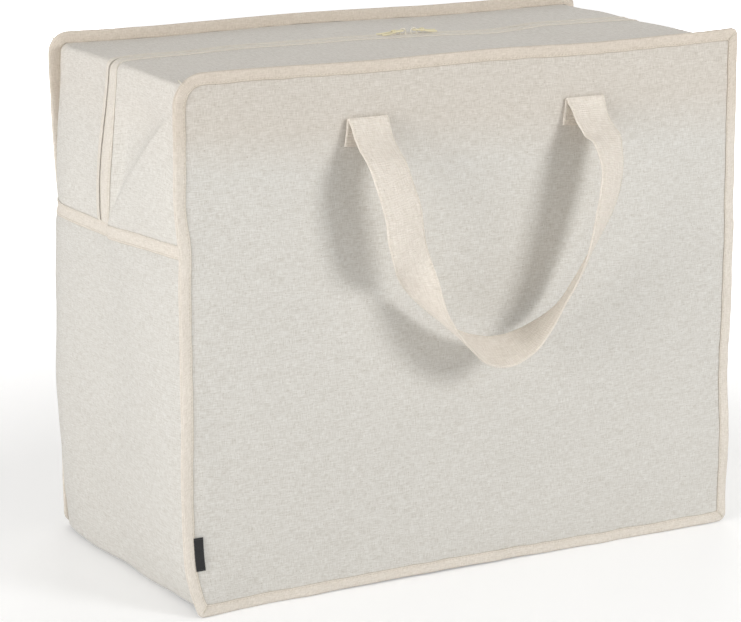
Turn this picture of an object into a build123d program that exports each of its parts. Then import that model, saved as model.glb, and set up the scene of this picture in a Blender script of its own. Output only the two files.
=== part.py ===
"""Zipped cloth storage box with two webbing handles, as its cut and sewn pieces.

Millimetres.  The origin is the middle of the footprint, +Z is up, the front panel
faces -Y and +X is to the right of someone facing the front.
"""
import math
import os

from build123d import *

os.makedirs("parts", exist_ok=True)

# Overall sizes
panel_width = 550.0  # front and back panels, over their bound edges
panel_height = 463.0
box_depth = 283.0  # between the outer faces of the front and back panels

# Cloth and seams
panel_cloth = 1.2
gusset_cloth = 1.2
binding_cloth = 0.8
seam_allowance = 11.0  # the bound seam that stands out at the sides and the bottom
top_allowance = 7.0  # the same along the top, where the filled gusset rises
top_seam_radius = 24.0  # gusset surface at the two top corners
bottom_edge_radius = 8.0  # panel outline at the two bottom corners
cross_seam_drop = 155.0  # from the panel's top edge to where the upper gusset meets the sides
cross_tape_width = 12.0
cross_tape_cloth = 0.8

# Zip
zip_y = 18.0  # the zip runs behind the middle of the gusset
zip_opening_half = 9.5  # from the zip line to each folded cloth edge
zip_tape_width = 14.0
zip_tape_cloth = 0.8
zip_split_half = 0.75  # half the gap between the two rows of coil
coil_width = 1.8
coil_rise = 0.8  # coil above the outer face of its tape
coil_drop = 0.6  # coil below the inner face of its tape

# Opening flaps: the middle of the top on each side of the zip
flap_half_length = 170.0
flap_end_gap = 0.4
seam_turn = 0.9  # cloth of the gusset that stays flat beside the panel seam
fold_gap = 1.2  # crease between the seam and the flap

# Sliders
sliders_meet_x = 25.0
slider_gap = 0.4
slider_length = 11.0
slider_width = 11.0
slider_plate = 1.2
slider_clearance = 0.35
slider_rail_width = 1.2
slider_neck_width = 0.7
slider_neck_length = 3.0
slider_corner_radius = 2.5
eye_length = 7.2
eye_thickness = 1.0
eye_wall = 1.2
eye_opening_height = 2.8

# Cord pulls
cord_diameter = 1.6
knot_radius = 2.7
# Route from the eye's middle: along the zip away from the other slider, and across it
pull_route = [(23.5, 4.2), (9.0, 1.25), (0.0, 2.0), (0.0, -2.0), (8.2, -1.15), (21.0, -3.2)]
knot_reach = 8.4  # eye's middle to the knot's middle

# Handles
strap_width = 38.0
strap_cloth = 1.8
anchor_height = 25.0
anchor_cloth = 2.0
handle_fold_drop = 48.5  # from the panel's top edge to the fold at the anchors
handle_half_span = 106.0  # handle's middle to each anchor's middle
handle_offset = 8.0  # handle's middle from the panel's middle
handle_gap = 0.6  # between the stitched anchor and the loose strap
handle_bow = 2.0  # how far the arms spread outside the anchors
handle_bow_drop = 69.5  # from the fold to where the arms stand widest apart
handle_drop = 223.5  # from the fold to the lowest edge of the strap
handle_bottom_rise = 28.0  # height of the strap where it crosses the bottom
handle_outer_half = 86.0  # outer corner of the loop's bottom, before rounding
handle_inner_half = 60.0
handle_outer_radii = (150.0, 70.0)
handle_inner_radii = (110.0, 42.0)
# Side view of the loose strap: distance in front of the panel, and drop below the fold
handle_side_route = [(46.0, 42.5), (56.0, 79.5), (36.0, handle_drop)]
handle_side_radii = [38.0, 90.0]

# Side label
label_width = 6.4
label_height = 29.0
label_cloth = 0.6
label_bottom_height = 41.0

# Places that follow from the sizes
face_y = box_depth / 2
panel_back_y = face_y - panel_cloth
seam_y = panel_back_y - gusset_cloth
binding_inner_y = seam_y - binding_cloth
gusset_x = panel_width / 2 - seam_allowance
gusset_top = panel_height - top_allowance
cross_seam_height = panel_height - cross_seam_drop
handle_fold_height = panel_height - handle_fold_drop
handle_bow_height = handle_fold_height - handle_bow_drop
handle_bottom_height = handle_fold_height - handle_drop
far = panel_width + panel_height + box_depth  # beyond the object in every direction
sides = [("front", -1), ("back", 1)]
ends = [("left", -1), ("right", 1)]

# Heights of the zip on the top run
tape_top = gusset_top - gusset_cloth
coil_top = tape_top + coil_rise
coil_bottom = tape_top - zip_tape_cloth - coil_drop
slider_top = coil_top + slider_clearance + slider_plate
eye_z = slider_top + eye_opening_height / 2


def outline(inset, mode=Mode.ADD):
    """Panel outline moved inwards by inset, given as (sides and bottom, top)."""
    side_inset, top_inset = inset
    half_width = panel_width / 2 - side_inset
    top = panel_height - top_inset
    top_radius = seam_allowance + top_seam_radius - side_inset
    bottom_radius = max(bottom_edge_radius - side_inset, 0)
    corners = [(-half_width, side_inset), (half_width, side_inset), (half_width, top), (-half_width, top)]
    radii = [bottom_radius, bottom_radius, top_radius, top_radius]
    with BuildLine() as edge_line:
        FilletPolyline(*corners, radius=radii, close=True)
    make_face(edge_line.edges(), mode=mode)


def under_gusset(depth):
    """Inset of a surface that lies depth below the gusset's outer surface."""
    return seam_allowance + depth, top_allowance + depth


panel_edge = (0, 0)
cloth_edge = (binding_cloth, binding_cloth)
gusset_outside = under_gusset(0)
gusset_inside = under_gusset(gusset_cloth)


def plate(inset, y_low, y_high, mode=Mode.ADD):
    """Solid of the outline, moved inwards by inset, between two depths."""
    with BuildSketch(Plane.XZ.offset(-y_high)) as profile:
        outline(inset)
    extrude(profile.sketch, amount=y_high - y_low, mode=mode)


def ring(outer_inset, inner_inset, y_low, y_high):
    """Solid band between two insets of the outline and between two depths."""
    with BuildSketch(Plane.XZ.offset(-y_high)) as profile:
        outline(outer_inset)
        outline(inner_inset, Mode.SUBTRACT)
    extrude(profile.sketch, amount=y_high - y_low)


def sewn_gusset():
    """Gusset wall all the way round, with its two edges turned out behind the panels."""
    ring(gusset_outside, gusset_inside, -seam_y, seam_y)
    ring(cloth_edge, gusset_inside, -panel_back_y, -seam_y)
    ring(cloth_edge, gusset_inside, seam_y, panel_back_y)


def keep(x_range, y_range, z_range):
    """Keep what lies in a block given by its lowest and highest x, y and z."""
    ranges = (x_range, y_range, z_range)
    middle = tuple((low + high) / 2 for low, high in ranges)
    size = (high - low for low, high in ranges)
    with Locations(middle):
        Box(*size, mode=Mode.INTERSECT)


def in_order(side, near, away):
    """Two depths measured from the middle towards one side, lowest first."""
    return tuple(sorted((side * near, side * away)))


def save(piece, name):
    """Label a finished piece and write it as its own STEP file."""
    piece.part.label = name
    export_step(piece.part, f"parts/{name}.step")


# Front and back panels, each with a folded binding round its seam
for side_name, side in sides:
    with BuildPart() as panel:
        plate(cloth_edge, *in_order(side, panel_back_y, face_y))
    save(panel, f"{side_name}_panel")

    with BuildPart() as binding:
        ring(panel_edge, gusset_outside, *in_order(side, binding_inner_y, face_y + binding_cloth))
        plate(cloth_edge, *in_order(side, seam_y, face_y), mode=Mode.SUBTRACT)
    save(binding, f"{side_name}_binding")

# Lower gusset: two side panels and the bottom between them
inner_x = gusset_x - gusset_cloth
for end_name, end in ends:
    with BuildPart() as side_panel:
        sewn_gusset()
        keep(in_order(end, inner_x, far), (-far, far), (0, cross_seam_height))
    save(side_panel, f"{end_name}_side_panel")

    half_tape = cross_tape_width / 2
    with BuildPart() as seam_tape:
        ring(under_gusset(-cross_tape_cloth), gusset_outside, -binding_inner_y, binding_inner_y)
        keep(
            in_order(end, inner_x, far),
            (-far, far),
            (cross_seam_height - half_tape, cross_seam_height + half_tape),
        )
    save(seam_tape, f"{end_name}_seam_tape")

with BuildPart() as bottom_panel:
    sewn_gusset()
    keep((-inner_x, inner_x), (-far, far), (0, seam_allowance + gusset_cloth))
save(bottom_panel, "bottom_panel")

# Upper gusset: a front and a back half with the zip between them.  The corners are
# fixed, and the middle of each half opens as a flap on a crease beside the panel seam.
crease_y = seam_y - seam_turn - fold_gap
hinge_y = seam_y - seam_turn - fold_gap / 2
flap_half = flap_half_length - flap_end_gap
for side_name, side in sides:
    edge_y = zip_y + side * zip_opening_half
    half_y = tuple(sorted((edge_y, side * far)))
    for end_name, end in ends:
        with BuildPart() as corner:
            sewn_gusset()
            keep(in_order(end, flap_half_length, far), half_y, (cross_seam_height, far))
        save(corner, f"{side_name}_{end_name}_upper_gusset")

    with BuildPart() as top_seam:
        sewn_gusset()
        keep(
            (-flap_half_length, flap_half_length),
            in_order(side, seam_y - seam_turn, far),
            (cross_seam_height, far),
        )
    save(top_seam, f"{side_name}_top_seam")

    with BuildPart() as flap:
        sewn_gusset()
        keep(
            (-flap_half, flap_half),
            tuple(sorted((edge_y, side * crease_y))),
            (cross_seam_height, far),
        )
    save(flap, f"{side_name}_flap")

# Zip tapes under the folded edges, each with its row of coil
tape_inside = under_gusset(gusset_cloth + zip_tape_cloth)
coil_outside = under_gusset(gusset_cloth - coil_rise)
coil_inside = under_gusset(gusset_cloth + zip_tape_cloth + coil_drop)
tape_stretches = [
    ("left", (-far, -flap_half_length)),
    ("middle", (-flap_half, flap_half)),
    ("right", (flap_half_length, far)),
]
for side_name, side in sides:
    tape_edge = zip_y + side * zip_split_half
    tape_y = tuple(sorted((tape_edge, tape_edge + side * zip_tape_width)))
    coil_y = tuple(sorted((tape_edge, tape_edge + side * coil_width)))
    for stretch_name, x_range in tape_stretches:
        with BuildPart() as zip_tape:
            ring(gusset_inside, tape_inside, *tape_y)
            ring(coil_outside, coil_inside, *coil_y)
            keep(x_range, (-far, far), (cross_seam_height, far))
        save(zip_tape, f"{side_name}_zip_tape_{stretch_name}")

# Sliders, which meet nose to nose, and their cord pulls
rail_bottom = tape_top + slider_clearance
plate_bottom = coil_top + slider_clearance
lower_plate_top = coil_bottom - slider_clearance
for end_name, end in ends:
    eye_x = sliders_meet_x + end * (slider_gap + slider_length) / 2
    nose_x = eye_x - end * (slider_length - slider_neck_length) / 2
    with BuildPart() as slider:
        for height in (plate_bottom, lower_plate_top - slider_plate):
            with BuildSketch(Plane.XY.offset(height)):
                with Locations((eye_x, zip_y)):
                    RectangleRounded(slider_length, slider_width, slider_corner_radius)
            extrude(amount=slider_plate)
        with BuildSketch(Plane.XY.offset(rail_bottom)):
            with Locations((eye_x, zip_y)):
                RectangleRounded(slider_length, slider_width, slider_corner_radius)
                Rectangle(slider_length, slider_width - 2 * slider_rail_width, mode=Mode.SUBTRACT)
        extrude(amount=plate_bottom - rail_bottom)
        with BuildSketch(Plane.XY.offset(lower_plate_top)):
            with Locations((nose_x, zip_y)):
                Rectangle(slider_neck_length, slider_neck_width)
        extrude(amount=plate_bottom - lower_plate_top)
        with BuildSketch(Plane.XZ.offset(-zip_y - eye_thickness / 2)):
            eye_height = eye_opening_height + eye_wall
            with Locations((eye_x, slider_top + eye_height / 2)):
                Rectangle(eye_length, eye_height)
            with Locations((eye_x, eye_z)):
                Rectangle(eye_length - 2 * eye_wall, eye_opening_height, mode=Mode.SUBTRACT)
        extrude(amount=eye_thickness)
        eye_top = slider.edges().filter_by(Axis.Y).group_by(Axis.Z)[-1]
        fillet(eye_top, eye_wall * 0.8)
    save(slider, f"{end_name}_slider")

    route = [(eye_x + end * along, zip_y + across, eye_z) for along, across in pull_route]
    radii = []
    for before, corner_point, after in zip(route, route[1:], route[2:]):
        run_in = Vector(*corner_point) - Vector(*before)
        run_out = Vector(*after) - Vector(*corner_point)
        turn = math.radians(run_in.get_angle(run_out))
        radii.append(0.45 * min(run_in.length, run_out.length) / math.tan(turn / 2))
    print(f"{end_name} pull cord radii", [round(radius, 1) for radius in radii])
    with BuildPart() as pull_cord:
        with BuildLine() as cord_line:
            FilletPolyline(*route, radius=radii)
        with BuildSketch(Plane(origin=cord_line.line @ 0, z_dir=cord_line.line % 0)):
            Circle(cord_diameter / 2)
        sweep()
    cord_length = sum(edge.length for edge in cord_line.edges())
    full_volume = math.pi * cord_diameter**2 / 4 * cord_length
    print(f"{end_name} pull cord length {cord_length:.1f}",
          f"volume ratio {pull_cord.part.volume / full_volume:.3f}")
    save(pull_cord, f"{end_name}_pull_cord")

    with BuildPart() as knot:
        with Locations((eye_x + end * knot_reach, zip_y, eye_z)):
            Sphere(knot_radius)
        add(pull_cord.part, mode=Mode.SUBTRACT)
    save(knot, f"{end_name}_pull_knot")

# Handles: two stitched anchors and one loose loop on each panel
for side_name, side in sides:
    middle_x = -side * handle_offset
    anchor_low, anchor_high = in_order(side, face_y, face_y + anchor_cloth)
    for end_name, end in ends:
        with BuildPart() as anchor:
            with BuildSketch(Plane.XZ.offset(-anchor_high)):
                anchor_x = middle_x + end * handle_half_span
                with Locations((anchor_x, handle_fold_height - anchor_height / 2)):
                    Rectangle(strap_width, anchor_height)
            extrude(amount=anchor_high - anchor_low)
        save(anchor, f"{side_name}_handle_anchor_{end_name}")

    # The loose strap bows out in side view and hangs as a U in front view
    start = anchor_cloth + handle_gap + strap_cloth / 2
    side_route = [(start, 0)] + handle_side_route
    top_outer = handle_half_span + strap_width / 2
    top_inner = handle_half_span - strap_width / 2
    inner_bottom = handle_bottom_height + handle_bottom_rise
    outer_half = [(top_outer, far), (top_outer + handle_bow, handle_bow_height),
                  (handle_outer_half, handle_bottom_height)]
    inner_half = [(top_inner, far), (top_inner + handle_bow, handle_bow_height),
                  (handle_inner_half, inner_bottom)]
    with BuildPart() as loop:
        with BuildLine() as side_line:
            side_points = [
                (0, side * (face_y + distance), handle_fold_height - drop)
                for distance, drop in side_route
            ]
            FilletPolyline(*side_points, radius=handle_side_radii)
        section = Plane(origin=side_line.line @ 0, x_dir=(1, 0, 0), z_dir=side_line.line % 0)
        with BuildSketch(section):
            Rectangle(2 * far, strap_cloth)
        sweep()
        with BuildSketch(Plane.XZ.offset(-far)):
            for half, radii, mode in (
                (outer_half, handle_outer_radii, Mode.ADD),
                (inner_half, handle_inner_radii, Mode.SUBTRACT),
            ):
                left = [(middle_x - x, z) for x, z in half]
                right = [(middle_x + x, z) for x, z in reversed(half)]
                rounding = [0, *radii, *reversed(radii), 0]
                with BuildLine():
                    FilletPolyline(*left, *right, radius=rounding, close=True)
                make_face(mode=mode)
        extrude(amount=2 * far, mode=Mode.INTERSECT)
    save(loop, f"{side_name}_handle_loop")

# Side label, sewn into the binding of the front panel
with BuildPart() as label:
    with BuildSketch(Plane.XZ.offset(face_y)):
        with Locations((-gusset_x + label_width / 2, label_bottom_height + label_height / 2)):
            Rectangle(label_width, label_height)
    extrude(amount=label_cloth)
save(label, "side_label")
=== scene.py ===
import math
import bmesh
import bpy
import numpy as np
from mathutils import Matrix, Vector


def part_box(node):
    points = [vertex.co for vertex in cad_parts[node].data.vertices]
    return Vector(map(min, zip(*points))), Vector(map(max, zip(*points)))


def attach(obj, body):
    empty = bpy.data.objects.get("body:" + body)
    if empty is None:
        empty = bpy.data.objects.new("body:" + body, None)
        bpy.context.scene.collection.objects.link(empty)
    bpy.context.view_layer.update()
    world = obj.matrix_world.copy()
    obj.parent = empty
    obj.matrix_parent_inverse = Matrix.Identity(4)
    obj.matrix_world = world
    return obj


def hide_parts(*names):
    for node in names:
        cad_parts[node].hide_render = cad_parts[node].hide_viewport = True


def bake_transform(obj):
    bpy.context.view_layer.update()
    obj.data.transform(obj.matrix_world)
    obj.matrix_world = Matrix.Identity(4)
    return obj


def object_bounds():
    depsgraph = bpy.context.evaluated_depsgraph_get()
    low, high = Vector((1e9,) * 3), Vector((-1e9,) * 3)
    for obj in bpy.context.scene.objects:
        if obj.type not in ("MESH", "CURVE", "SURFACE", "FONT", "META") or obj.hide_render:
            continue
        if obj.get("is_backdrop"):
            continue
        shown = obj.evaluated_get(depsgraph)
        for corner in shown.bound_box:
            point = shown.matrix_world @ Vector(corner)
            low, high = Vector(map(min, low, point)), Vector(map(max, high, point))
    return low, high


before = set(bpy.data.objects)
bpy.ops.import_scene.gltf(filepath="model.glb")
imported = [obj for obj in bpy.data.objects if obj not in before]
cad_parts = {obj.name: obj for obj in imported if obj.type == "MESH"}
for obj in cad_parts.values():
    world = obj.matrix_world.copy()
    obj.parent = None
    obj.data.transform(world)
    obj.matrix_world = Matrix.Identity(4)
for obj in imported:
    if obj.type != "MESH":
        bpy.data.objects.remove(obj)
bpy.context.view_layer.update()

MM = 0.001


def limits(node):
    """Lowest and highest corner of a CAD node, in millimetres."""
    low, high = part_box(node)
    return np.array(low) / MM, np.array(high) / MM


# The bag's own sizes, in millimetres, read from the frame
rim_low, rim_high = limits("front_binding")
HALF, TOP = rim_high[0], rim_high[2]
RIM_OUT, SEAM = -rim_low[1], -rim_high[1]
FACE = -limits("front_panel")[0][1]
CROSS = float(np.mean([corner[2] for corner in limits("left_seam_tape")]))
slider_low, slider_high = limits("left_slider")
ZIP = (slider_low[1] + slider_high[1]) / 2
HANDLE_MIDDLE = float(np.mean([corner[0] for corner in limits("front_handle_loop")]))

# How far the gusset's seams lie inside the edge of each face, and how wide the folded tape is
SIDE_INSET, TOP_INSET, RIM_WIDTH = 11.0, 10.5, 10.5
# Corner radii of each sewn face: bottom left, bottom right, top right, top left, as seen from the front
CORNERS = {-1: (4.0, 8.0, 7.0, 27.0), 1: (12.0, 12.0, 12.0, 19.0)}
# Cloth used from the middle of the bottom to each whole q of the gusset: bottom, lower corner, side below
# the cross seam, side above it, upper corner and top
CUT = np.array([0, 256, 268.6, 557.6, 694.6, 707.2, 963.2])
BELOW_CROSS, ABOVE_CROSS = CUT[3] - CUT[2], CUT[4] - CUT[3]
# The zip's folded hems end here; each half of the gusset stops half a gap short of the zip's middle
FRONT_HEM, BACK_HEM, GAP = ZIP - 17.3, ZIP + 6.6, 1.3
# The slanting fold above the cross seam, from the zip's foot to the front corner, as depth and height
CREASE_LOW, CREASE_HIGH = np.array([-2.0, 311.0]), np.array([-130.0, 440.0])
# Runs of q with the number of steps in each, for all that lies above the cross seam
UP_KNOTS = [(3.0, 4.0, 52), (4.0, 5.0, 14), (5.0, 6.0, 92)]
CLOTH, STRAP_HALF, STRAP_SKIN = 1.2, 19.0, 0.9
SIDES, FACES = ((-1, "left"), (1, "right")), ((-1, "front"), (1, "back"))


def ease(x, start, end):
    """Smooth step: 0 up to start, 1 from end on, three t squared minus two t cubed between."""
    t = np.clip((x - start) / (end - start), 0, 1)
    return t * t * (3 - 2 * t)


def hump(x, centre, width):
    """A bell: e to the power of minus the squared distance over the width."""
    return np.exp(-((x - centre) / width) ** 2)


def crumple(u, v, size, seed):
    """Soft unevenness between about -1 and 1: nine plane waves of unlike length and heading, added up."""
    rng = np.random.default_rng(seed)
    total = 0.0
    for heading, stretch, phase in rng.uniform(0, 1, (9, 3)):
        along = u * math.cos(heading * math.tau) + v * math.sin(heading * math.tau)
        total = total + np.sin(along * math.tau / (size * (0.6 + 1.2 * stretch)) + phase * math.tau)
    return total / 4.2


def soft_curve(x, places, heights, blur):
    """A line through the given heights, rounded off by averaging it over a bell of the given width."""
    fine = np.linspace(places[0] - 3 * blur, places[-1] + 3 * blur, 900)
    line = np.interp(fine, places, heights)
    reach = np.arange(-300, 301) * (fine[1] - fine[0])
    bell = np.exp(-(reach / blur) ** 2)
    padded = np.concatenate([np.full(300, line[0]), line, np.full(300, line[-1])])
    return np.interp(x, fine, np.convolve(padded, bell / bell.sum(), "valid"))


def unit(v):
    """Vectors divided by their own length."""
    return v / np.maximum(np.linalg.norm(v, axis=-1, keepdims=True), 1e-9)


def grid_normals(p):
    """Outward direction at each point of a grid: the cross product of its two slopes."""
    return unit(np.cross(np.gradient(p, axis=0), np.gradient(p, axis=1)))


def running(steps):
    """Distances along a path from its start, given each step's length."""
    return np.concatenate([[0], np.cumsum(steps)])


def facing(direction, like):
    """One direction repeated for every point of a path."""
    return np.broadcast_to(np.asarray(direction, float), like.shape)


# ---------------------------------------------------------------- mesh making


def put_mesh(name, points, quads, uv, finish):
    """A mesh object from arrays: points in millimetres, faces in fours, one uv pair for each face corner."""
    name = name.replace(" ", "_")
    mesh = bpy.data.meshes.new(name)
    points = np.asarray(points, float).reshape(-1, 3) * MM
    quads = np.asarray(quads, np.int32)
    mesh.vertices.add(len(points))
    mesh.vertices.foreach_set("co", points.astype(np.float32).ravel())
    mesh.loops.add(quads.size)
    mesh.loops.foreach_set("vertex_index", quads.ravel())
    mesh.polygons.add(len(quads))
    mesh.polygons.foreach_set("loop_start", np.arange(0, quads.size, 4, dtype=np.int32))
    mesh.polygons.foreach_set("use_smooth", np.ones(len(quads), bool))
    layer = mesh.uv_layers.new(name="cloth")
    layer.data.foreach_set("uv", np.asarray(uv, np.float32).ravel())
    mesh.update(calc_edges=True)
    mesh.validate()
    mesh.materials.append(finish)
    piece = bpy.data.objects.new(name, mesh)
    bpy.context.collection.objects.link(piece)
    return piece


def grid_faces(rows, columns, wrap_rows=False, wrap_columns=False):
    """Corner numbers of the quads between neighbouring grid points, and their row and column for the uv."""
    r = np.arange(rows if wrap_rows else rows - 1)
    c = np.arange(columns if wrap_columns else columns - 1)
    r, c = [a.ravel() for a in np.meshgrid(r, c, indexing="ij")]
    corners = [(r, c), (r + 1, c), (r + 1, c + 1), (r, c + 1)]
    quads = np.stack([(i % rows) * columns + j % columns for i, j in corners], 1)
    return quads, np.stack([i for i, j in corners], 1), np.stack([j for i, j in corners], 1)


def cloth(name, p, u, v, thickness, finish, outward):
    """One open sheet: a grid of points p, its flat cut coordinates u and v, and a wall grown inwards."""
    n = grid_normals(p)
    flip = float(np.mean(np.sum(n * outward, -1))) < 0
    if flip:
        p, u, v = p[::-1], u[::-1], v[::-1]
    quads, i, j = grid_faces(*p.shape[:2])
    uv = np.stack([u[i, j], v[i, j]], -1) * MM
    piece = put_mesh(name, p, quads, uv, finish)
    rows, columns = p.shape[:2]
    ends = np.empty(len(piece.data.edges) * 2, np.int32)
    piece.data.edges.foreach_get("vertices", ends)
    r, c = ends.reshape(-1, 2) // columns, ends.reshape(-1, 2) % columns
    border = (((r == 0).all(1)) | ((r == rows - 1).all(1)) | ((c == 0).all(1)) | ((c == columns - 1).all(1)))
    sharp = piece.data.attributes.new("sharp_edge", "BOOLEAN", "EDGE")
    sharp.data.foreach_set("value", border)
    wall = piece.modifiers.new("cloth thickness", "SOLIDIFY")
    wall.thickness, wall.offset, wall.use_even_offset = thickness * MM, -1.0, False
    return piece


def wrapped(name, rings, finish, closed=False, length=None, girth=None, cap=True):
    """A closed skin: closed rings of points one after another along a path, ends drawn to their middles."""
    rings = np.asarray(rings, float)
    if not closed and cap:
        first, last = rings[0].mean(0), rings[-1].mean(0)
        rings = np.concatenate([np.broadcast_to(first, (1,) + rings[0].shape), rings,
                                np.broadcast_to(last, (1,) + rings[0].shape)])
        if length is not None:
            length = np.concatenate([length[:1], length, length[-1:]])
    rows, columns = rings.shape[:2]
    if length is None:
        step = np.linalg.norm(np.diff(rings.mean(1), axis=0), axis=-1)
        length = running(step)
    if girth is None:
        around = np.roll(rings[rows // 2], -1, 0) - rings[rows // 2]
        girth = running(np.linalg.norm(around, axis=-1))
    if closed:
        length = np.append(length, length[-1] + np.linalg.norm(rings[0, 0] - rings[-1, 0]))
    quads, i, j = grid_faces(rows, columns, closed, True)
    uv = np.stack([length[i], girth[j]], -1) * MM
    first, second, last = [rings.reshape(-1, 3)[quads[:, k]] for k in (0, 1, 3)]
    volume = np.sum((first - rings.mean((0, 1))) * np.cross(second - first, last - first))
    if volume < 0:
        quads, uv = quads[:, ::-1], uv[:, ::-1]
    piece = put_mesh(name, rings, quads, uv, finish)
    weld(piece)
    return piece


def weld(piece):
    """Joins the points that lie on one another, so that poles and seams are closed."""
    shape = bmesh.new()
    shape.from_mesh(piece.data)
    bmesh.ops.remove_doubles(shape, verts=shape.verts, dist=1e-6)
    shape.to_mesh(piece.data)
    shape.free()


def tube(path, radius, around=8, start_side=(0, 0, 1)):
    """Rings of a round tube: circles square to the path, each turned as little as possible from the last."""
    path = np.asarray(path, float)
    heading = unit(np.gradient(path, axis=0))
    side = np.broadcast_to(np.asarray(start_side, float), path.shape)
    a = unit(side - heading * np.sum(side * heading, -1, keepdims=True))
    b = np.cross(heading, a)
    turn = np.linspace(0, math.tau, around, endpoint=False)
    radius = np.broadcast_to(radius, len(path))[:, None, None]
    cos, sin = np.cos(turn)[None, :, None], np.sin(turn)[None, :, None]
    return path[:, None] + radius * (cos * a[:, None] + sin * b[:, None])


def stitches(name, path, lift, pitch, finish, thick=0.5, share=0.72, closed=False):
    """A row of stitches: short pointed beads laid end to end along a path, each arched up along lift."""
    path, lift = np.asarray(path, float), unit(np.asarray(lift, float))
    if closed:
        path, lift = np.concatenate([path, path[:1]]), np.concatenate([lift, lift[:1]])
    run = running(np.linalg.norm(np.diff(path, axis=0), axis=-1))
    count = max(int(run[-1] / pitch), 1)
    middle = (np.arange(count) + 0.5) * run[-1] / count
    reach = np.array([-0.5, -0.34, 0.0, 0.34, 0.5]) * share * pitch
    at = middle[:, None] + reach[None]
    p = np.stack([np.interp(at, run, path[:, k]) for k in range(3)], -1)
    n = unit(np.stack([np.interp(at, run, lift[:, k]) for k in range(3)], -1))
    heading = unit(p[:, -1] - p[:, 0])[:, None]
    across = unit(np.cross(np.broadcast_to(heading, n.shape), n))
    size = np.array([0.08, 0.85, 1.0, 0.85, 0.08])[None, :, None, None] * thick / 2
    height = (np.array([-0.5, 0.1, 0.28, 0.1, -0.5]) * thick)[None, :, None]
    turn = np.arange(4) * math.pi / 2 + math.pi / 4
    rings = (p + n * height)[:, :, None] + size * (np.cos(turn)[:, None] * across[:, :, None]
                                                   + np.sin(turn)[:, None] * n[:, :, None])
    quads, i, j = grid_faces(5, 4, False, True)
    quads = (np.arange(count)[:, None, None] * 20 + quads[None]).reshape(-1, 4)[:, ::-1]
    ends = np.arange(count)[:, None, None] * 20 + np.array([[0, 1, 2, 3], [19, 18, 17, 16]])[None]
    quads = np.concatenate([quads, ends.reshape(-1, 4)])
    corner = rings.reshape(-1, 3)[quads[0]]
    outward = corner.mean(0) - rings[0].mean((0, 1))
    if np.dot(np.cross(corner[1] - corner[0], corner[3] - corner[0]), outward) < 0:
        quads = quads[:, ::-1]
    return put_mesh(name, rings, quads, np.zeros((len(quads), 4, 2)), finish)


def fixed(piece, body, slot, *nodes):
    """The piece rides on one body and stands for these CAD nodes, which are hidden; the slot is not used."""
    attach(piece, body)
    if nodes:
        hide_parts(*nodes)
    return piece


def flapped(piece, face, side, slot, *nodes):
    """The piece's placement is baked into its points and the CAD nodes it stands for are hidden; face and
    side are not used.
    """
    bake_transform(piece)
    if nodes:
        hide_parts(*nodes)
    return piece


# ---------------------------------------------------------------- the bag's shape


def sewn(face, x, z):
    """How a sewn face strays from a true rectangle, as shifts in x, outwards in y, and in z: the cross seams
    draw the sides in, the top edge waves, and the loose rim curls."""
    left, right = ease(-x, 150, HALF), ease(x, 150, HALF)
    top, low = ease(z, 350, TOP), 1 - ease(z, 0, 120)
    edge = 1 - ease(np.minimum(np.minimum(HALF - np.abs(x), z), TOP - z), 1, 26)
    if face < 0:
        dx = left * (1.3 * hump(z, 313, 20) - 1.1 * hump(z, 364, 25)
                     + 1.5 * ease(z, 90, 200) * (1 - ease(z, 298, 350)))
        dx = dx + left * 11.0 * (1 - np.clip(z / 62, 0, 1)) ** 2.2
        dx = dx - right * (2.2 * hump(z, 306, 20) - 0.9 * np.sin(z / 37) + 0.8 * hump(z, 150, 45))
        dz = top * (0.9 * np.sin(x / 43 + 0.6) - 1.3 * hump(x, 95, 60) - 0.6)
        dz = dz + low * (0.7 + 0.7 * np.sin(x / 61 + 2))
        dy = edge * (0.9 * crumple(x, z, 74, 11) + 0.35 * crumple(x, z, 31, 12)) + 0.6 * top * np.sin(x / 52)
        dy = dy + 7.0 * ease(-x, 190, HALF) * (1 - ease(z, 0, 75))
    else:
        dx = left * 6.5 * hump(z, 265, 105) - right * 5.0 * hump(z, 250, 100)
        dz = top * (0.9 * np.sin(x / 51 + 2.1) - 0.5) + low * (0.7 + 0.6 * np.sin(x / 55))
        dy = edge * (1.0 * crumple(x, z, 70, 13) + 0.35 * crumple(x, z, 30, 14))
        dy = dy + left * 3.0 * hump(z, 265, 110)
    return dx, dy, dz


def relief(face, x, z):
    """How far the panel's cloth swells from its frame: a flat pillow, dented by the handles' pull, with soft
    wrinkles and small puckers along the binding."""
    inside = np.minimum(np.minimum(HALF - np.abs(x), z), TOP - z) - RIM_WIDTH
    inside = np.maximum(inside, 0)
    pillow = (1 - np.abs(x / 264) ** 2.6).clip(0) * (1 - np.abs((z - 231.5) / 220.5) ** 3.0).clip(0)
    out = 5.0 * pillow ** 0.8
    middle = -face * HANDLE_MIDDLE
    for arm in (-106, 106):
        reach = ((x - middle - arm) / 30) ** 2 + ((z - 402) / 24) ** 2
        out = out + 1.6 * np.exp(-reach)
        out = out - 0.7 * np.exp(-(((x - middle - arm) / 46) ** 2 + ((z - 352) / 30) ** 2))
    out = out - 1.1 * hump(z + 0.06 * x, 386, 20) * (1 - ease(np.abs(x), 190, 262))
    wrinkles = 0.65 * crumple(x, z, 120, 21 + face) + 0.16 * crumple(x, z, 46, 23 + face)
    out = out + np.minimum(inside / 22, 1) * wrinkles
    out = out + 0.22 * np.exp(-inside / 9) * np.minimum(inside / 1.5, 1) * crumple(x, z, 15, 25 + face)
    return out


def face_point(face, x, z, out):
    """A point of a sewn face: its place in the flat frame, moved by the frame's straying, and out along y."""
    dx, dy, dz = sewn(face, x, z)
    return np.stack([x + dx, face * (out + dy), z + dz], -1)


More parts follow.
